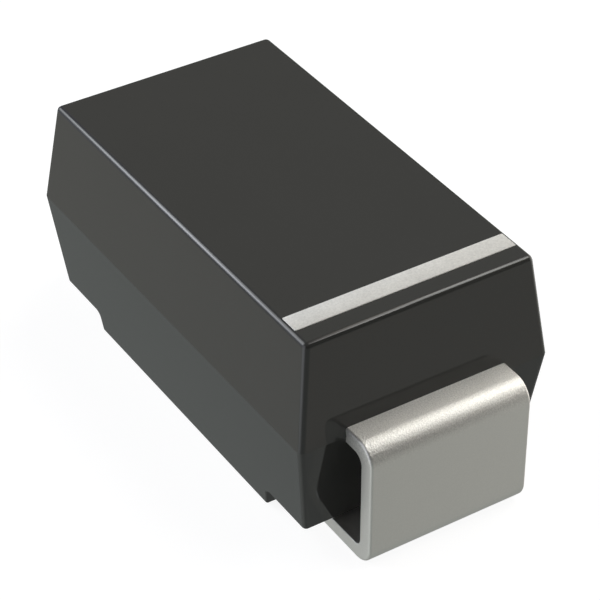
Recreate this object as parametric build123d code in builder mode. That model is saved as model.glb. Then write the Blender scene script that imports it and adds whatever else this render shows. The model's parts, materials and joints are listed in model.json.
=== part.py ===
from build123d import *
import os
from math import tan, radians, cos, sin

# Surface-mount TVS diode in a moulded two-lead package.
# Millimetres. Origin: middle of the footprint, on the plane the two feet stand on.
# +X runs along the package towards the cathode (banded) end, +Z is up.

# ---------------------------------------------------------------- moulded body
body_len = 4.455        # along X, at the parting plane
body_wid = 2.512        # along Y, at the parting plane
z_top = 2.200           # flat top face
z_part = 1.198          # parting plane of the two mould halves
z_recess = 0.226        # roof of the two end recesses that clear the feet
z_pad = 0.030           # underside of the central pad
draft = 7.0             # mould draft on every side, degrees
pad_half = 1.463        # half length of the central pad, measured at its underside
pad_draft = 8.0         # draft on the pad's two end faces, degrees
r_body_edge = 0.052     # round on the vertical corners and around the top face
r_low_edge = 0.025      # round along the lower rims
r_pad_root = 0.060      # hollow round where the pad's end face meets the recess roof

# ---------------------------------------------------------------- leads
lead_t = 0.150          # strip thickness
lead_w = 1.616          # strip width
lead_x = 2.600          # outer face of the upright, so 5.2 overall
lead_z = 1.285          # upper surface of the strip where it leaves the body
r_out_top = 0.200       # outer radius, top bend
r_in_top = 0.100        # inner radius, top bend
r_out_bot = 0.197       # outer radius, bottom bend
r_in_bot = 0.082        # inner radius, bottom bend
foot_end = 1.585        # where the foot ends below the body
r_edge_out = 0.025      # rolled round along the strip, on its outer side
r_edge_in = 0.010       # and on its inner side
notch_x = 1.720         # mould-lock notches in the buried part of each strip
notch_w = 0.200
notch_d = 0.180

# ---------------------------------------------------------------- inside
pad_end_x = -0.860      # inner end of the cathode strip: it carries the die
post_end_x = -1.130     # inner end of the anode strip: it carries the clip
die_size = 1.500        # square die
die_t = 0.260
mesa_size = 1.240       # raised middle of the die inside the passivation moat
mesa_h = 0.080
glass_t = 0.092         # glass fills the moat and stands a little proud
solder_t = 0.030
contact_size = 1.080    # soldered contact on top of the die
clip_t = 0.150
clip_w = 1.080
clip_bend = 0.060       # inner bend radius of the clip

# ---------------------------------------------------------------- cathode band
band_x0 = 1.700
band_x1 = 1.900
band_y = 1.097          # half length: it stops just where the edge round begins to fall away
band_t = 0.006          # ink film

os.makedirs("parts", exist_ok=True)

z_lead_low = lead_z - lead_t
z_die_low = lead_z + solder_t
z_die_top = z_die_low + die_t
z_clip_low = z_die_top + solder_t
z_post_low = lead_z + solder_t


def half_at(full, z):
    """Half length or width of the drafted body at height z."""
    return full / 2 - abs(z - z_part) * tan(radians(draft))


def on_inner_side(edge):
    """True for a strip edge that faces the inside of the bends."""
    if edge.geom_type == GeomType.CIRCLE:
        return min(abs(edge.radius - r_in_top), abs(edge.radius - r_in_bot)) < 1e-4
    middle = edge.center()
    return (
        abs(middle.Z - z_lead_low) < 1e-4
        or abs(middle.Z - lead_t) < 1e-4
        or abs(abs(middle.X) - (lead_x - lead_t)) < 1e-4
    )


# ---------------------------------------------------------------- cathode lead
# One stamped and bent strip: buried die pad, flat exit, upright, foot.
with BuildPart() as cathode_lead:
    with BuildSketch(Plane.XZ) as cathode_profile:
        with BuildLine():
            l1 = Line((pad_end_x, z_lead_low), (lead_x - lead_t - r_in_top, z_lead_low))
            a1 = RadiusArc(l1 @ 1, (lead_x - lead_t, z_lead_low - r_in_top), r_in_top)
            l2 = Line(a1 @ 1, (lead_x - lead_t, lead_t + r_in_bot))
            a2 = RadiusArc(l2 @ 1, (lead_x - lead_t - r_in_bot, lead_t), r_in_bot)
            l3 = Line(a2 @ 1, (foot_end, lead_t))
            l4 = Line(l3 @ 1, (foot_end, 0))
            l5 = Line(l4 @ 1, (lead_x - r_out_bot, 0))
            a3 = RadiusArc(l5 @ 1, (lead_x, r_out_bot), -r_out_bot)
            l6 = Line(a3 @ 1, (lead_x, lead_z - r_out_top))
            a4 = RadiusArc(l6 @ 1, (lead_x - r_out_top, lead_z), -r_out_top)
            l7 = Line(a4 @ 1, (pad_end_x, lead_z))
            l8 = Line(l7 @ 1, l1 @ 0)
        make_face()
    extrude(amount=lead_w / 2, both=True)
    # rolled rounds along both sides of the strip, all the way round the bends
    side_edges = cathode_lead.edges().filter_by(
        lambda e: abs(abs(e.center().Y) - lead_w / 2) < 1e-4
        and e.bounding_box().size.Y < 1e-4
        and abs(e.center().X - pad_end_x) > 1e-3
        and abs(e.center().X - foot_end) > 1e-3
    )
    fillet([e for e in side_edges if not on_inner_side(e)], r_edge_out)
    fillet([e for e in side_edges if on_inner_side(e)], r_edge_in)
    # mould-lock notches, one in each side of the buried strip
    with Locations((notch_x, lead_w / 2, lead_z - lead_t / 2), (notch_x, -lead_w / 2, lead_z - lead_t / 2)):
        Box(notch_w, 2 * notch_d, 2 * lead_t, mode=Mode.SUBTRACT)
cathode_lead.part.label = "cathode_lead"

# ---------------------------------------------------------------- anode lead
# The same strip at the other end, with a short post instead of a die pad.
with BuildPart() as anode_lead:
    with BuildSketch(Plane.XZ) as anode_profile:
        with BuildLine():
            k1 = Line((post_end_x, z_lead_low), (-(lead_x - lead_t - r_in_top), z_lead_low))
            b1 = RadiusArc(k1 @ 1, (-(lead_x - lead_t), z_lead_low - r_in_top), -r_in_top)
            k2 = Line(b1 @ 1, (-(lead_x - lead_t), lead_t + r_in_bot))
            b2 = RadiusArc(k2 @ 1, (-(lead_x - lead_t - r_in_bot), lead_t), -r_in_bot)
            k3 = Line(b2 @ 1, (-foot_end, lead_t))
            k4 = Line(k3 @ 1, (-foot_end, 0))
            k5 = Line(k4 @ 1, (-(lead_x - r_out_bot), 0))
            b3 = RadiusArc(k5 @ 1, (-lead_x, r_out_bot), r_out_bot)
            k6 = Line(b3 @ 1, (-lead_x, lead_z - r_out_top))
            b4 = RadiusArc(k6 @ 1, (-(lead_x - r_out_top), lead_z), r_out_top)
            k7 = Line(b4 @ 1, (post_end_x, lead_z))
            k8 = Line(k7 @ 1, k1 @ 0)
        make_face()
    extrude(amount=lead_w / 2, both=True)
    side_edges = anode_lead.edges().filter_by(
        lambda e: abs(abs(e.center().Y) - lead_w / 2) < 1e-4
        and e.bounding_box().size.Y < 1e-4
        and abs(e.center().X - post_end_x) > 1e-3
        and abs(e.center().X + foot_end) > 1e-3
    )
    fillet([e for e in side_edges if not on_inner_side(e)], r_edge_out)
    fillet([e for e in side_edges if on_inner_side(e)], r_edge_in)
    with Locations((-notch_x, lead_w / 2, lead_z - lead_t / 2), (-notch_x, -lead_w / 2, lead_z - lead_t / 2)):
        Box(notch_w, 2 * notch_d, 2 * lead_t, mode=Mode.SUBTRACT)
anode_lead.part.label = "anode_lead"

# ---------------------------------------------------------------- die and joints
with BuildPart() as die_attach_solder:
    with BuildSketch(Plane.XY.offset(lead_z)):
        RectangleRounded(die_size, die_size, 0.05)
    extrude(amount=solder_t)
die_attach_solder.part.label = "die_attach_solder"

# Sawn die with a mesa: its middle stands up inside the passivation moat.
with BuildPart() as silicon_die:
    with BuildSketch(Plane.XY.offset(z_die_low)):
        Rectangle(die_size, die_size)
    extrude(amount=die_t - mesa_h)
    with BuildSketch(Plane.XY.offset(z_die_top - mesa_h)):
        RectangleRounded(mesa_size, mesa_size, 0.12)
    extrude(amount=mesa_h)
silicon_die.part.label = "silicon_die"

# Fused glass in the moat.
with BuildPart() as passivation_glass:
    with BuildSketch(Plane.XY.offset(z_die_top - mesa_h)):
        Rectangle(die_size, die_size)
        RectangleRounded(mesa_size, mesa_size, 0.12, mode=Mode.SUBTRACT)
    extrude(amount=glass_t)
passivation_glass.part.label = "passivation_glass"

with BuildPart() as die_top_solder:
    with BuildSketch(Plane.XY.offset(z_die_top)):
        RectangleRounded(contact_size, contact_size, 0.10)
    extrude(amount=solder_t)
die_top_solder.part.label = "die_top_solder"

# ---------------------------------------------------------------- clip
# A short bridge: flat over the die, stepped down to the anode post.
clip_flat_end = contact_size / 2
clip_drop_x0 = -0.800
clip_drop_x1 = -1.200
clip_tail_x = -1.620
with BuildPart() as connecting_clip:
    with BuildSketch(Plane.XZ) as clip_profile:
        with BuildLine():
            FilletPolyline(
                (clip_flat_end, z_clip_low),
                (clip_drop_x0, z_clip_low),
                (clip_drop_x1, z_post_low),
                (clip_tail_x, z_post_low),
                radius=clip_bend,
            )
            FilletPolyline(
                (clip_tail_x, z_post_low + clip_t),
                (clip_drop_x1 + 0.060, z_post_low + clip_t),
                (clip_drop_x0 + 0.060, z_clip_low + clip_t),
                (clip_flat_end, z_clip_low + clip_t),
                radius=clip_bend,
            )
            Line((clip_flat_end, z_clip_low), (clip_flat_end, z_clip_low + clip_t))
            Line((clip_tail_x, z_post_low), (clip_tail_x, z_post_low + clip_t))
        make_face()
    extrude(amount=clip_w / 2, both=True)
connecting_clip.part.label = "connecting_clip"

with BuildPart() as clip_post_solder:
    with BuildSketch(Plane.XY.offset(lead_z)):
        with Locations(((clip_tail_x - 1.240) / 2, 0)):
            RectangleRounded(1.620 - 1.240, clip_w, 0.05)
    extrude(amount=solder_t)
clip_post_solder.part.label = "clip_post_solder"

# ---------------------------------------------------------------- moulded body
with BuildPart() as mold_body:
    # upper mould half
    with BuildSketch(Plane.XY.offset(z_part)):
        Rectangle(body_len, body_wid)
    with BuildSketch(Plane.XY.offset(z_top)):
        Rectangle(2 * half_at(body_len, z_top), 2 * half_at(body_wid, z_top))
    loft(ruled=True)
    # lower mould half, down to the underside of the central pad
    with BuildSketch(Plane.XY.offset(z_pad)):
        Rectangle(2 * half_at(body_len, z_pad), 2 * half_at(body_wid, z_pad))
    with BuildSketch(Plane.XY.offset(z_part)):
        Rectangle(body_len, body_wid)
    loft(ruled=True)
    # recesses at both ends, over the feet; the pad stays between them, and a
    # hollow round joins the pad's end face to the recess roof
    slope = tan(radians(pad_draft))
    foot_of_round = r_pad_root * tan(radians((90 - pad_draft) / 2))
    pad_root = pad_half + (z_recess - z_pad) * slope
    round_low = (
        pad_root - foot_of_round * sin(radians(pad_draft)),
        z_recess - foot_of_round * cos(radians(pad_draft)),
    )
    for side in (1, -1):
        with BuildSketch(Plane.XZ):
            with BuildLine():
                wall = Line(
                    (side * (pad_half - 0.100 * slope), z_pad - 0.100),
                    (side * round_low[0], round_low[1]),
                )
                hollow = TangentArc(
                    wall @ 1,
                    (side * (pad_root + foot_of_round), z_recess),
                    tangent=wall % 1,
                )
                Polyline(
                    hollow @ 1,
                    (side * 2.400, z_recess),
                    (side * 2.400, z_pad - 0.100),
                    wall @ 0,
                )
            make_face()
        extrude(amount=1.500, both=True, mode=Mode.SUBTRACT)
    # vertical corners of both mould halves
    uprights = mold_body.edges().filter_by(
        lambda e: e.bounding_box().size.Z > 0.500
        and abs(e.center().Y) > 0.900
        and abs(e.center().X) > 1.900
    )
    fillet(uprights, r_body_edge)
    # the rim of the top face
    fillet(mold_body.faces().sort_by(Axis.Z)[-1].edges(), r_body_edge)
    # the whole lower rim: recess roofs, pad corners and the pad's underside
    rim = mold_body.edges().filter_by(
        lambda e: e.bounding_box().max.Z < z_recess + 1e-4
        and not (
            e.bounding_box().size.Y > 1.0
            and e.bounding_box().size.X < 1e-4
            and abs(e.center().X) < 1.9
            and e.center().Z > z_pad + 1e-3
        )
    )
    fillet(rim, r_low_edge)
    # the epoxy fills every gap round the pieces it is moulded over
    for inner in (
        cathode_lead,
        anode_lead,
        die_attach_solder,
        silicon_die,
        passivation_glass,
        die_top_solder,
        connecting_clip,
        clip_post_solder,
    ):
        add(inner.part, mode=Mode.SUBTRACT)
mold_body.part.label = "mold_body"

# ---------------------------------------------------------------- cathode band
# A film of pale ink across the top face, near the cathode end.
with BuildPart() as cathode_band:
    with BuildSketch(Plane.XY.offset(z_top)):
        with Locations(((band_x0 + band_x1) / 2, 0)):
            Rectangle(band_x1 - band_x0, 2 * band_y)
    extrude(amount=band_t)
cathode_band.part.label = "cathode_band"

export_step(mold_body.part, "parts/mold_body.step")
export_step(cathode_lead.part, "parts/cathode_lead.step")
export_step(anode_lead.part, "parts/anode_lead.step")
export_step(silicon_die.part, "parts/silicon_die.step")
export_step(passivation_glass.part, "parts/passivation_glass.step")
export_step(die_attach_solder.part, "parts/die_attach_solder.step")
export_step(die_top_solder.part, "parts/die_top_solder.step")
export_step(connecting_clip.part, "parts/connecting_clip.step")
export_step(clip_post_solder.part, "parts/clip_post_solder.step")
export_step(cathode_band.part, "parts/cathode_band.step")
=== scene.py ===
import json
import math

import bmesh
import bpy
from mathutils import Matrix, Vector

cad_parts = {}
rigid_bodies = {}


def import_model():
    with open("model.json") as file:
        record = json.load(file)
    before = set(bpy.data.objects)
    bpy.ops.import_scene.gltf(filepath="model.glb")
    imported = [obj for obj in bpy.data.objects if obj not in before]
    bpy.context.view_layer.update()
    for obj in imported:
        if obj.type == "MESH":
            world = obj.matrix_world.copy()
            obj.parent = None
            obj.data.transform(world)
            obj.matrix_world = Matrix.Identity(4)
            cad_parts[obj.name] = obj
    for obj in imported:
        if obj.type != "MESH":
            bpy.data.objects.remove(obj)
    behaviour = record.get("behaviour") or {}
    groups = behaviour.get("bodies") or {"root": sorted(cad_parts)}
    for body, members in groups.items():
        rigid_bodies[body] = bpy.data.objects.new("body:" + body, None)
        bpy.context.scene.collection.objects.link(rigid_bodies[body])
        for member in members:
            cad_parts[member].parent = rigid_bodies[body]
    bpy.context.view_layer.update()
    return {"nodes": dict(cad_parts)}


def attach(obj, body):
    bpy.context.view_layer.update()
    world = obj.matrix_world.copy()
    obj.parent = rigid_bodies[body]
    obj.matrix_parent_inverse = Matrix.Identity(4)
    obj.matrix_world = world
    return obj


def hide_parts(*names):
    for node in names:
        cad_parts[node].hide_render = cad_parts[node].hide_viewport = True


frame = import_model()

nodes_cad = frame["nodes"]
scene = bpy.context.scene

# ------------------------------------------------------------------ sizes, millimetres (the frame's own)
MM = 0.001
BODY_LEN, BODY_WID = 4.455, 2.512
Z_TOP, Z_PART, Z_RECESS, Z_PAD = 2.200, 1.198, 0.226, 0.030
DRAFT = math.radians(7.0)
PAD_HALF, PAD_DRAFT = 1.463, math.radians(8.0)
R_EDGE, R_LOW, R_ROOT = 0.052, 0.025, 0.060
T, W = 0.150, 1.616
XO, ZL = 2.600, 1.285
R_OUT_TOP, R_IN_TOP, R_OUT_BOT, R_IN_BOT = 0.200, 0.100, 0.197, 0.082
FOOT_END, R_OUTER, R_INNER = 1.585, 0.025, 0.010
BURIED = {"cathode_lead": -0.860, "anode_lead": 1.130}
NOTCH_X, NOTCH_W, NOTCH_D = 1.720, 0.200, 0.180
BAND_X0, BAND_X1, BAND_Y, BAND_T = 1.700, 1.900, 1.097, 0.006


def half(full, z):
    return full / 2 - abs(z - Z_PART) * math.tan(DRAFT)


# ------------------------------------------------------------------ mesh helpers
def new_object(name, bm, smooth=True):
    bmesh.ops.recalc_face_normals(bm, faces=bm.faces[:])
    mesh = bpy.data.meshes.new(name)
    for v in bm.verts:
        v.co *= MM
    bm.to_mesh(mesh)
    bm.free()
    mesh.polygons.foreach_set("use_smooth", [smooth] * len(mesh.polygons))
    obj = bpy.data.objects.new(name, mesh)
    scene.collection.objects.link(obj)
    return obj


def bake_modifiers(obj):
    """Turns the object's modifiers into plain mesh."""
    graph = bpy.context.evaluated_depsgraph_get()
    graph.update()
    done = bpy.data.meshes.new_from_object(obj.evaluated_get(graph), depsgraph=graph)
    old = obj.data
    obj.modifiers.clear()
    obj.data = done
    bpy.data.meshes.remove(old)
    done.name = obj.name
    return obj


def subtract(obj, others):
    """Cuts copies of the other objects out of this one."""
    graph = bpy.context.evaluated_depsgraph_get()
    graph.update()
    group = bpy.data.collections.new("cutters")
    scene.collection.children.link(group)
    for o in others:
        mesh = bpy.data.meshes.new_from_object(o.evaluated_get(graph), depsgraph=graph)
        bm = bmesh.new()
        bm.from_mesh(mesh)
        bmesh.ops.remove_doubles(bm, verts=bm.verts[:], dist=1e-9)
        bm.to_mesh(mesh)
        bm.free()
        group.objects.link(bpy.data.objects.new("cutter", mesh))
    mod = obj.modifiers.new("cut", "BOOLEAN")
    mod.operation, mod.solver = "DIFFERENCE", "MANIFOLD"
    mod.operand_type, mod.collection = "COLLECTION", group
    bake_modifiers(obj)
    for c in list(group.objects):
        bpy.data.meshes.remove(c.data)
    bpy.data.collections.remove(group)
    bm = bmesh.new()
    bm.from_mesh(obj.data)
    bmesh.ops.dissolve_degenerate(bm, dist=1e-8, edges=bm.edges[:])
    bm.to_mesh(obj.data)
    bm.free()


def crease_and_weight(obj, angle=math.radians(24)):
    """Sharp edges stay sharp; on the rounds the flat faces' normals win."""
    obj.data.polygons.foreach_set("use_smooth", [True] * len(obj.data.polygons))
    obj.data.set_sharp_from_angle(angle=angle)
    mod = obj.modifiers.new("weighted", "WEIGHTED_NORMAL")
    mod.keep_sharp, mod.weight = True, 100
    mod.mode = "FACE_AREA"
    return obj


def mark_seam(obj, z):
    """The line where two mould halves met is a true crease, however shallow its angle."""
    for edge in obj.data.edges:
        if all(abs(obj.data.vertices[i].co.z - z * MM) < 1e-7 for i in edge.vertices):
            edge.use_edge_sharp = True


def new_bmesh():
    bm = bmesh.new()
    bm.edges.layers.float.new("bevel_weight_edge")
    return bm


def weigh(bm, edges, value):
    layer = bm.edges.layers.float["bevel_weight_edge"]
    for e in edges:
        e[layer] = value


# ------------------------------------------------------------------ moulded body
def make_body():
    bm = new_bmesh()

    def vert(x, y, z):
        return bm.verts.new((x, y, z))

    top = {(sx, sy): vert(sx * half(BODY_LEN, Z_TOP), sy * half(BODY_WID, Z_TOP), Z_TOP) for sx in (-1, 1) for sy in (-1, 1)}
    part = {(sx, sy): vert(sx * half(BODY_LEN, Z_PART), sy * half(BODY_WID, Z_PART), Z_PART) for sx in (-1, 1) for sy in (-1, 1)}
    roof = {(sx, sy): vert(sx * half(BODY_LEN, Z_RECESS), sy * half(BODY_WID, Z_RECESS), Z_RECESS) for sx in (-1, 1) for sy in (-1, 1)}
    pad = {(sx, sy): vert(sx * PAD_HALF, sy * half(BODY_WID, Z_PAD), Z_PAD) for sx in (-1, 1) for sy in (-1, 1)}
    # hollow round at the root of the pad's end wall
    pad_root = PAD_HALF + (Z_RECESS - Z_PAD) * math.tan(PAD_DRAFT)
    reach = R_ROOT * math.tan((math.pi / 2 - PAD_DRAFT) / 2)
    cx, cz = pad_root + reach, Z_RECESS - R_ROOT
    arc = {}
    steps = 8
    for sx in (-1, 1):
        for sy in (-1, 1):
            row = []
            for i in range(steps + 1):
                a = math.pi / 2 + (math.pi / 2 - PAD_DRAFT) * i / steps
                x, z = cx + R_ROOT * math.cos(a), cz + R_ROOT * math.sin(a)
                row.append(vert(sx * x, sy * half(BODY_WID, z), z))
            arc[(sx, sy)] = row  # from the roof down to the pad's wall
    f = bm.faces.new
    f([top[(-1, -1)], top[(1, -1)], top[(1, 1)], top[(-1, 1)]])
    for s in (-1, 1):
        f([part[(-1, s)], part[(1, s)], top[(1, s)], top[(-1, s)]])
        f([part[(s, -1)], part[(s, 1)], top[(s, 1)], top[(s, -1)]])
        f([part[(s, -1)], part[(s, 1)], roof[(s, 1)], roof[(s, -1)]])
        f(
            [part[(-1, s)], part[(1, s)], roof[(1, s)]]
            + arc[(1, s)]
            + [pad[(1, s)], pad[(-1, s)]]
            + arc[(-1, s)][::-1]
            + [roof[(-1, s)]]
        )
        f([roof[(s, -1)], roof[(s, 1)], arc[(s, 1)][0], arc[(s, -1)][0]])
        for i in range(steps):
            f([arc[(s, -1)][i], arc[(s, 1)][i], arc[(s, 1)][i + 1], arc[(s, -1)][i + 1]])
        f([arc[(s, -1)][-1], arc[(s, 1)][-1], pad[(s, 1)], pad[(s, -1)]])
    f([pad[(-1, -1)], pad[(1, -1)], pad[(1, 1)], pad[(-1, 1)]])
    bmesh.ops.recalc_face_normals(bm, faces=bm.faces[:])
    bm.edges.ensure_lookup_table()
    corner = {v for d in (top, part, roof) for v in d.values()}
    topv = set(top.values())
    upright, rim_top, rim_low, seam = [], [], [], []
    for e in bm.edges:
        a, b = e.verts
        zs = sorted((a.co.z, b.co.z))
        if a in topv and b in topv:
            rim_top.append(e)
        elif zs[1] - zs[0] > 0.5 and a in corner and b in corner:
            upright.append(e)
        elif abs(zs[0] - Z_PART) < 1e-6 and abs(zs[1] - Z_PART) < 1e-6:
            seam.append(e)
        elif zs[1] < Z_RECESS + 1e-6:
            along_y = abs(a.co.y - b.co.y) > 1.0
            inner = along_y and abs(a.co.x) < 1.9 and zs[0] > Z_PAD + 1e-4
            if not inner:
                rim_low.append(e)
    weigh(bm, upright, 1.0)
    weigh(bm, rim_top, 0.90)
    weigh(bm, rim_low, 0.44)
    obj = new_object("epoxy_body", bm)
    mod = obj.modifiers.new("rounds", "BEVEL")
    mod.limit_method, mod.offset_type, mod.width = "WEIGHT", "OFFSET", 0.985 * R_EDGE * MM
    mod.segments, mod.profile, mod.use_clamp_overlap = 8, 0.5, False
    mod.miter_outer = "MITER_SHARP"
    bake_modifiers(obj)
    return obj


# ------------------------------------------------------------------ bent strip leads
def lead_stations(buried_end):
    """Pairs of outer and inner points along the strip, in X and Z, from its buried end to its foot."""
    out = []
    x_in = XO - T - R_IN_TOP
    x_out = XO - R_OUT_TOP
    for x in (buried_end, buried_end + 0.015, 1.55, 1.90, 2.05, 2.15, 2.25):
        out.append(((x, ZL), (x, ZL - T)))
    turn = 20
    for i in range(turn + 1):
        a = math.pi / 2 * (1 - i / turn)
        out.append(
            (
                (x_out + R_OUT_TOP * math.cos(a), ZL - R_OUT_TOP + R_OUT_TOP * math.sin(a)),
                (x_in + R_IN_TOP * math.cos(a), ZL - T - R_IN_TOP + R_IN_TOP * math.sin(a)),
            )
        )
    for k in (0.25, 0.5, 0.75):
        zo = (ZL - R_OUT_TOP) * (1 - k) + R_OUT_BOT * k
        zi = (ZL - T - R_IN_TOP) * (1 - k) + (T + R_IN_BOT) * k
        out.append(((XO, zo), (XO - T, zi)))
    for i in range(turn + 1):
        a = -math.pi / 2 * i / turn
        out.append(
            (
                (XO - R_OUT_BOT + R_OUT_BOT * math.cos(a), R_OUT_BOT + R_OUT_BOT * math.sin(a)),
                (XO - T - R_IN_BOT + R_IN_BOT * math.cos(a), T + R_IN_BOT + R_IN_BOT * math.sin(a)),
            )
        )
    for x in (2.20, 1.95, FOOT_END + 0.015, FOOT_END):
        out.append(((x, 0.0), (x, T)))
    return out


def make_lead(name, side):
    bm = new_bmesh()
    arcs = 6
    rings = []
    for (ox, oz), (ix, iz) in lead_stations(BURIED[name]):
        thick = math.hypot(ox - ix, oz - iz)
        ux, uz = (ox - ix) / thick, (oz - iz) / thick
        h, ro, ri = W / 2, R_OUTER, R_INNER
        ring = []

        def put(y, t):
            ring.append(bm.verts.new((side * (ix + ux * t), y, iz + uz * t)))

        for sy, st, r in ((1, 1, ro), (1, -1, ri), (-1, -1, ri), (-1, 1, ro)):
            y0, t0 = sy * (h - r), thick - r if st > 0 else r
            flip = (sy * st) < 0
            for i in range(arcs + 1):
                k = i / arcs
                a = math.pi / 2 * (k if flip else 1 - k)
                put(y0 + sy * r * math.cos(a), t0 + st * r * math.sin(a))
        rings.append(ring)
    n = len(rings[0])
    for a, b in zip(rings, rings[1:]):
        for i in range(n):
            j = (i + 1) % n
            bm.faces.new((a[i], a[j], b[j], b[i]))
    bm.faces.new(rings[0][::-1])
    bm.faces.new(rings[-1])
    weigh(bm, [e for e in bm.edges if all(v in rings[-1] for v in e.verts)], 1.0)
    obj = new_object(name + "_strip", bm)
    mod = obj.modifiers.new("sheared_end", "BEVEL")
    mod.limit_method, mod.offset_type, mod.width = "WEIGHT", "OFFSET", 0.008 * MM
    mod.segments, mod.profile = 3, 0.5
    bake_modifiers(obj)
    # mould-lock notches in the buried part
    tools = []
    for sy in (-1, 1):
        cut = bmesh.new()
        bmesh.ops.create_cube(
            cut,
            size=1.0,
            matrix=Matrix.Translation((side * NOTCH_X, sy * W / 2, ZL - T / 2)) @ Matrix.Diagonal((NOTCH_W, 2 * NOTCH_D, 2 * T, 1)),
        )
        tools.append(new_object("tool", cut, False))
    subtract(obj, tools)
    for tool in tools:
        bpy.data.meshes.remove(tool.data)
    crease_and_weight(obj, math.radians(30))
    return obj


# ------------------------------------------------------------------ cathode band
def make_band():
    """A film of ink: rounded corners, and an edge that thins out instead of standing up like a plate."""
    bm = bmesh.new()
    x0, x1, y1 = BAND_X0, BAND_X1, BAND_Y
    r, seg = 0.012, 5

    def outline(inset, z):
        rr = max(r - inset, 0.002)
        pts = []
        for cx, cy, a0 in (
            (x1 - inset - rr, y1 - inset - rr, 0.0),
            (x0 + inset + rr, y1 - inset - rr, 90.0),
            (x0 + inset + rr, -y1 + inset + rr, 180.0),
            (x1 - inset - rr, -y1 + inset + rr, 270.0),
        ):
            for i in range(seg + 1):
                a = math.radians(a0 + 90.0 * i / seg)
                pts.append(bm.verts.new((cx + rr * math.cos(a), cy + rr * math.sin(a), z)))
        return pts

    rows = [
        outline(0.0, Z_TOP),
        outline(0.0002, Z_TOP + 0.35 * BAND_T),
        outline(0.0015, Z_TOP + 0.75 * BAND_T),
        outline(0.0045, Z_TOP + BAND_T),
    ]
    n = len(rows[0])
    for a, b in zip(rows, rows[1:]):
        for i in range(n):
            j = (i + 1) % n
            bm.faces.new((a[i], a[j], b[j], b[i]))
    bm.faces.new(rows[0][::-1])
    bm.faces.new(rows[-1])
    obj = new_object("cathode_band_ink", bm)
    crease_and_weight(obj, math.radians(50))
    return obj


# ------------------------------------------------------------------ node helpers
class Nodes:
    def __init__(self, name):
        self.material = bpy.data.materials.new(name)
        self.material.use_nodes = True
        self.tree = self.material.node_tree
        self.bsdf = self.tree.nodes["Principled BSDF"]
        self.coord = self.tree.nodes.new("ShaderNodeTexCoord").outputs["Object"]

    def link(self, a, b):
        self.tree.links.new(a, b)

    def noise(self, feature_mm, detail=2.0, rough=0.5, stretch=(1, 1, 1), offset=(0, 0, 0)):
        """Noise whose features are about feature_mm across."""
        mapping = self.tree.nodes.new("ShaderNodeMapping")
        k = 1.0 / (feature_mm * MM)
        mapping.inputs["Scale"].default_value = [k * s for s in stretch]
        mapping.inputs["Location"].default_value = offset
        self.link(self.coord, mapping.inputs["Vector"])
        node = self.tree.nodes.new("ShaderNodeTexNoise")
        node.inputs["Scale"].default_value = 1.0
        node.inputs["Detail"].default_value = detail
        node.inputs["Roughness"].default_value = rough
        self.link(mapping.outputs["Vector"], node.inputs["Vector"])
        return node.outputs["Fac"]

    def ranged(self, value, lo, hi, low=0.3, high=0.7):
        node = self.tree.nodes.new("ShaderNodeMapRange")
        node.inputs["From Min"].default_value = low
        node.inputs["From Max"].default_value = high
        node.inputs["To Min"].default_value = lo
        node.inputs["To Max"].default_value = hi
        self.link(value, node.inputs["Value"])
        return node.outputs["Result"]

    def math(self, op, a, b=None):
        node = self.tree.nodes.new("ShaderNodeMath")
        node.operation = op
        for i, v in enumerate((a, b)):
            if v is None:
                continue
            if isinstance(v, (int, float)):
                node.inputs[i].default_value = v
            else:
                self.link(v, node.inputs[i])
        return node.outputs[0]

    def ramp(self, value, stops):
        node = self.tree.nodes.new("ShaderNodeValToRGB")
        el = node.color_ramp.elements
        while len(el) > 1:
            el.remove(el[0])
        el[0].position, el[0].color = stops[0][0], (*stops[0][1], 1)
        for pos, col in stops[1:]:
            e = el.new(pos)
            e.color = (*col, 1)
        self.link(value, node.inputs["Fac"])
        return node.outputs["Color"]

    def bump(self, height, strength, distance_mm, normal=None):
        node = self.tree.nodes.new("ShaderNodeBump")
        node.inputs["Strength"].default_value = strength
        node.inputs["Distance"].default_value = distance_mm * MM
        self.link(height, node.inputs["Height"])
        if normal is not None:
            self.link(normal, node.inputs["Normal"])
        return node.outputs["Normal"]

    def set(self, **sockets):
        for key, value in sockets.items():
            name = {
                "color": "Base Color", "rough": "Roughness", "metal": "Metallic", "ior": "IOR",
                "spec": "Specular IOR Level", "normal": "Normal", "coat": "Coat Weight",
                "coat_rough": "Coat Roughness", "aniso": "Anisotropic", "alpha": "Alpha",
                "transmission": "Transmission Weight", "tint": "Specular Tint",
            }[key]
            socket = self.bsdf.inputs[name]
            if hasattr(value, "is_output"):
                self.link(value, socket)
            else:
                socket.default_value = value
        return self.material


# ------------------------------------------------------------------ materials
def epoxy_material():
    """Black moulding compound, ejected from a polished mould: glossy, with hardly any texture."""
    m = Nodes("moulded_epoxy")
    cloud = m.noise(0.9, 3.0, 0.55)
    grain = m.noise(0.030, 2.0, 0.6)
    speck = m.noise(0.012, 1.0, 0.5)
    color = m.ramp(
        m.math("ADD", m.math("MULTIPLY", cloud, 0.6), m.math("MULTIPLY", grain, 0.4)),
        [(0.30, (0.0503, 0.0503, 0.0478)), (0.50, (0.0515, 0.0515, 0.0490)), (0.70, (0.0527, 0.0526, 0.0502))],
    )
    rough = m.ranged(m.math("ADD", m.math("MULTIPLY", grain, 0.7), m.math("MULTIPLY", cloud, 0.3)), 0.035, 0.060)
    normal = m.bump(m.math("ADD", m.math("MULTIPLY", grain, 0.7), m.math("MULTIPLY", speck, 0.3)), 0.02, 0.0010)
    return m.set(color=color, rough=rough, normal=normal, spec=0.5, ior=1.5)


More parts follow.
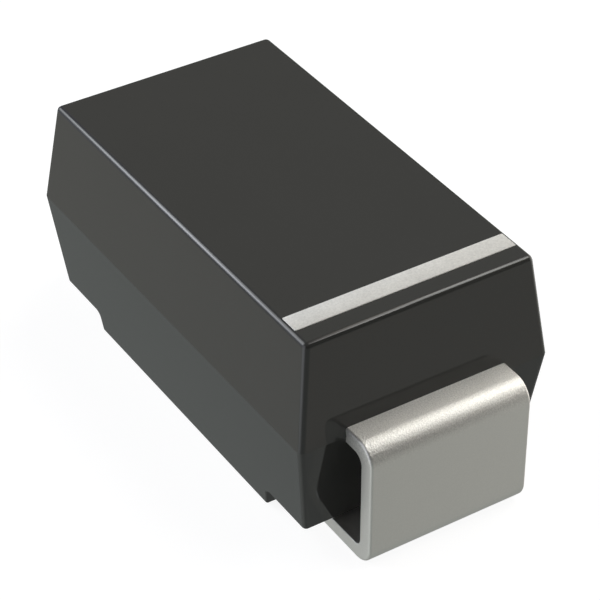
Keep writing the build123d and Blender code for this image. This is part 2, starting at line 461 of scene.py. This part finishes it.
def tin_material():
    """Matte tin plating: smooth on the flats, with a fine crystalline grain where the strip was bent outwards."""
    m = Nodes("matte_tin")
    grain = m.noise(0.022, 2.0, 0.6)
    fine = m.noise(0.012, 1.0, 0.5)
    cloud = m.noise(0.35, 3.0, 0.55)
    split = m.tree.nodes.new("ShaderNodeSeparateXYZ")
    m.link(m.coord, split.inputs["Vector"])
    drawn = m.ranged(split.outputs["Z"], 0.12, 1.0, 1.08 * MM, 1.20 * MM)
    soft = m.math("ADD", m.math("MULTIPLY", grain, 0.65), m.math("MULTIPLY", cloud, 0.35))
    speck = m.math("MULTIPLY", m.math("MULTIPLY", m.math("SUBTRACT", fine, 0.5), drawn), 1.2)
    tone = m.math("ADD", m.math("ADD", m.math("MULTIPLY", soft, 0.15), 0.425), speck)
    color = m.ramp(tone, [(0.10, (0.656, 0.648, 0.624)), (0.5, (0.816, 0.806, 0.776)), (0.90, (0.976, 0.964, 0.928))])
    rough = m.ranged(soft, 0.53, 0.57)
    height = m.math("MULTIPLY", m.math("ADD", m.math("MULTIPLY", grain, 0.6), m.math("MULTIPLY", fine, 0.4)), drawn)
    normal = m.bump(height, 0.9, 0.0060)
    return m.set(color=color, metal=1.0, rough=rough, normal=normal)


def ink_material():
    """Pale marking ink, printed in a thin, slightly uneven film."""
    m = Nodes("marking_ink")
    grain = m.noise(0.018, 2.0, 0.6)
    cloud = m.noise(0.25, 2.0, 0.5)
    mix = m.math("ADD", m.math("MULTIPLY", grain, 0.7), m.math("MULTIPLY", cloud, 0.3))
    color = m.ramp(mix, [(0.30, (0.640, 0.632, 0.601)), (0.5, (0.732, 0.723, 0.688)), (0.70, (0.824, 0.813, 0.774))])
    rough = m.ranged(grain, 0.50, 0.70)
    normal = m.bump(grain, 0.2, 0.001)
    return m.set(color=color, rough=rough, normal=normal, spec=0.3)


def silicon_material():
    m = Nodes("silicon")
    a = m.noise(0.02, 2.0, 0.6, stretch=(1, 0.05, 1))
    b = m.noise(0.4, 3.0, 0.5)
    color = m.ramp(b, [(0.3, (0.16, 0.17, 0.20)), (0.7, (0.24, 0.25, 0.29))])
    return m.set(color=color, metal=0.8, rough=m.ranged(a, 0.18, 0.34), normal=m.bump(a, 0.1, 0.001))


def glass_material():
    m = Nodes("fused_glass")
    a = m.noise(0.08, 3.0, 0.6)
    color = m.ramp(a, [(0.3, (0.72, 0.74, 0.68)), (0.7, (0.88, 0.89, 0.84))])
    return m.set(color=color, rough=m.ranged(a, 0.12, 0.30), normal=m.bump(a, 0.2, 0.002), spec=0.5)


def solder_material():
    m = Nodes("solder")
    a = m.noise(0.03, 3.0, 0.6)
    color = m.ramp(a, [(0.3, (0.50, 0.50, 0.49)), (0.7, (0.66, 0.65, 0.63))])
    return m.set(color=color, metal=1.0, rough=m.ranged(a, 0.22, 0.45), normal=m.bump(a, 0.3, 0.003))


def copper_material():
    m = Nodes("clip_copper")
    a = m.noise(0.015, 2.0, 0.6, stretch=(0.08, 1, 1))
    b = m.noise(0.5, 3.0, 0.5)
    color = m.ramp(b, [(0.3, (0.66, 0.34, 0.22)), (0.7, (0.78, 0.44, 0.30))])
    return m.set(color=color, metal=1.0, rough=m.ranged(a, 0.25, 0.42), normal=m.bump(a, 0.2, 0.002))


def give(obj, material):
    obj.data.materials.clear()
    obj.data.materials.append(material)


# ------------------------------------------------------------------ build
epoxy, tin, ink = epoxy_material(), tin_material(), ink_material()
silicon, glass, solder, copper = silicon_material(), glass_material(), solder_material(), copper_material()

body = make_body()
cathode = make_lead("cathode_lead", 1)
anode = make_lead("anode_lead", -1)
band = make_band()
inner = ("silicon_die", "passivation_glass", "die_attach_solder", "die_top_solder", "clip_post_solder", "connecting_clip")
subtract(body, [cathode, anode] + [nodes_cad[n] for n in inner])
crease_and_weight(body, math.radians(24))
mark_seam(body, Z_PART)

for obj, node, slot, material in (
    (body, "mold_body", "epoxy_mold", epoxy),
    (cathode, "cathode_lead", "tinned_lead", tin),
    (anode, "anode_lead", "tinned_lead", tin),
    (band, "cathode_band", "marking_ink", ink),
):
    give(obj, material)
    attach(obj, "root")
    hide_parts(node)

for node, slot, material in (
    ("silicon_die", "silicon", silicon),
    ("passivation_glass", "passivation_glass", glass),
    ("die_attach_solder", "solder", solder),
    ("die_top_solder", "solder", solder),
    ("clip_post_solder", "solder", solder),
    ("connecting_clip", "clip_copper", copper),
):
    give(nodes_cad[node], material)

# ------------------------------------------------------------------ stage
bm = bmesh.new()
bmesh.ops.create_grid(bm, x_segments=1, y_segments=1, size=600.0)
floor = new_object("floor", bm)
floor.location.z = -0.000002
fm = bpy.data.materials.new("pale_floor")
fm.use_nodes = True
fb = fm.node_tree.nodes["Principled BSDF"]
fb.inputs["Base Color"].default_value = (0.20, 0.20, 0.20, 1)
fb.inputs["Roughness"].default_value = 1.0
fb.inputs["Specular IOR Level"].default_value = 0.0
fb.inputs["Emission Color"].default_value = (1, 1, 1, 1)
fb.inputs["Emission Strength"].default_value = 0.90
give(floor, fm)
floor.visible_glossy = False
floor.visible_diffuse = False
floor.visible_shadow = False

# ------------------------------------------------------------------ light
# A dim studio with large soft lights in it. Each is a direction, the angles in degrees where it starts and ends to
# fall off, and how bright it looks, with 1 for paper white.
GROUND = (0.276, 0.297, 0.283)
SKY = (0.0, 0.0, 0.0)
LIGHTS = [
    ("left", (-0.674, -0.54, 0.5), 22, 30, (1.654, 1.737, 1.687)),
    ("left_halo", (-0.8, -0.45, 0.4), 25, 50, (0.000, 0.003, 0.085)),
    ("back_left", (-0.67, 0.43, 0.6), 8, 28, (0.141, 0.140, 0.123)),
    ("back", (0, 1, 0.1), 10, 40, (2.145, 2.034, 1.917)),
    ("right_low", (0.78, 0.45, -0.43), 12, 28, (0.155, 0.130, 0.112)),
    ("front", (0, -1, 0.1), 10, 40, (0.900, 0.915, 1.020)),
    ("front_low", (0, -0.8, -0.6), 10, 40, (0.250, 0.255, 0.235)),
    ("left_core_a", (-0.665, -0.57, 0.48), 5, 11, (0.830, 0.818, 0.854)),
    ("left_core", (-0.674, -0.5, 0.54), 12, 20, (1.485, 1.524, 1.544)),
    ("top_a", (0.12, 0.43, 0.89), 8, 16, (0.000, 0.000, 0.088)),
    ("top_b", (0.12, 0.58, 0.8), 8, 16, (1.299, 1.354, 1.385)),
    ("top_c", (-0.15, 0.45, 0.88), 8, 16, (0.589, 0.560, 0.420)),
    ("top_far", (-0.15, 0.62, 0.77), 8, 16, (2.027, 2.013, 1.996)),
    ("left_a", (-0.668, -0.616, 0.418), 6, 14, (0.931, 0.933, 1.038)),
    ("left_b", (-0.72, -0.54, 0.44), 6, 14, (0.953, 0.965, 1.081)),
    ("left_c", (-0.77, -0.44, 0.46), 6, 14, (1.382, 1.454, 1.622)),
    ("left_d", (-0.6, -0.7, 0.38), 6, 14, (1.377, 1.405, 1.592)),
    ("left_e", (-0.7, -0.6, 0.3), 6, 14, (0.000, 0.000, 0.078)),
    ("left_f", (-0.68, -0.48, 0.56), 6, 14, (0.266, 0.247, 0.313)),
    ("floor_glow", (0.35, 0.43, -0.83), 20, 45, (0.035, 0.030, 0.034)),
    ("floor_glow_left", (-0.66, -0.62, -0.42), 10, 20, (0.082, 0.058, 0.030)),
    ("top_soft_a", (0.12, 0.55, 0.83), 15, 22, (0.210, 0.196, 0.000)),
    ("top_soft_b", (0.05, 0.5, 0.865), 15, 20, (1.691, 1.590, 1.535)),
    ("top_soft_c", (0.12, 0.5, 0.86), 10, 14, (0.959, 1.053, 1.205)),
    ("top_edge", (0.375, 0.355, 0.855), 4, 9, (5.0, 4.9, 4.8)),
]


def studio_world():
    world = bpy.data.worlds.new("studio")
    scene.world = world
    world.use_nodes = True
    tree = world.node_tree
    tree.nodes.clear()
    direction = tree.nodes.new("ShaderNodeTexCoord").outputs["Generated"]

    def glow(axis, inner, outer):
        dot = tree.nodes.new("ShaderNodeVectorMath")
        dot.operation = "DOT_PRODUCT"
        tree.links.new(direction, dot.inputs[0])
        dot.inputs[1].default_value = Vector(axis).normalized()
        fall = tree.nodes.new("ShaderNodeMapRange")
        fall.interpolation_type = "SMOOTHSTEP"
        fall.inputs["From Min"].default_value = math.cos(math.radians(outer))
        fall.inputs["From Max"].default_value = math.cos(math.radians(inner))
        tree.links.new(dot.outputs["Value"], fall.inputs["Value"])
        return fall.outputs["Result"]

    total = None
    for axis, inner, outer, color in [((0, 0, 1), 88.9, 91.1, SKY), ((0, 0, -1), 88.9, 91.1, GROUND)] + [l[1:] for l in LIGHTS]:
        scale = tree.nodes.new("ShaderNodeVectorMath")
        scale.operation = "SCALE"
        scale.inputs[0].default_value = color
        tree.links.new(glow(axis, inner, outer), scale.inputs["Scale"])
        if total is None:
            total = scale.outputs["Vector"]
        else:
            add = tree.nodes.new("ShaderNodeVectorMath")
            add.operation = "ADD"
            tree.links.new(total, add.inputs[0])
            tree.links.new(scale.outputs["Vector"], add.inputs[1])
            total = add.outputs["Vector"]
    studio = tree.nodes.new("ShaderNodeBackground")
    tree.links.new(total, studio.inputs["Color"])
    paper = tree.nodes.new("ShaderNodeBackground")
    paper.inputs["Color"].default_value = (1, 1, 1, 1)
    path = tree.nodes.new("ShaderNodeLightPath")
    mix = tree.nodes.new("ShaderNodeMixShader")
    tree.links.new(path.outputs["Is Camera Ray"], mix.inputs["Fac"])
    tree.links.new(studio.outputs["Background"], mix.inputs[1])
    tree.links.new(paper.outputs["Background"], mix.inputs[2])
    out = tree.nodes.new("ShaderNodeOutputWorld")
    tree.links.new(mix.outputs["Shader"], out.inputs["Surface"])


studio_world()

# ------------------------------------------------------------------ camera
cam_data = bpy.data.cameras.new("camera")
cam = bpy.data.objects.new("camera", cam_data)
scene.collection.objects.link(cam)
az, el = math.radians(57.52179), math.radians(36.98114)
back = Vector((math.sin(az) * math.cos(el), -math.cos(az) * math.cos(el), math.sin(el)))
right = Vector((math.cos(az), math.sin(az), 0.0))
up = back.cross(right)
place = Vector((14.93916, -9.34495, 14.12616)) + (up - right) * 0.00463
cam.matrix_world = Matrix(
    (
        (right.x, up.x, back.x, place.x * MM),
        (right.y, up.y, back.y, place.y * MM),
        (right.z, up.z, back.z, place.z * MM),
        (0, 0, 0, 1),
    )
)
cam_data.sensor_width = 36.0
cam_data.lens = 146.3213
cam_data.clip_start = 0.001
cam_data.clip_end = 10.0
scene.camera = cam

scene.view_settings.view_transform = "Standard"
scene.view_settings.look = "None"
scene.view_settings.exposure = 0.0
scene.view_settings.gamma = 1.0
scene.cycles.use_denoising = True
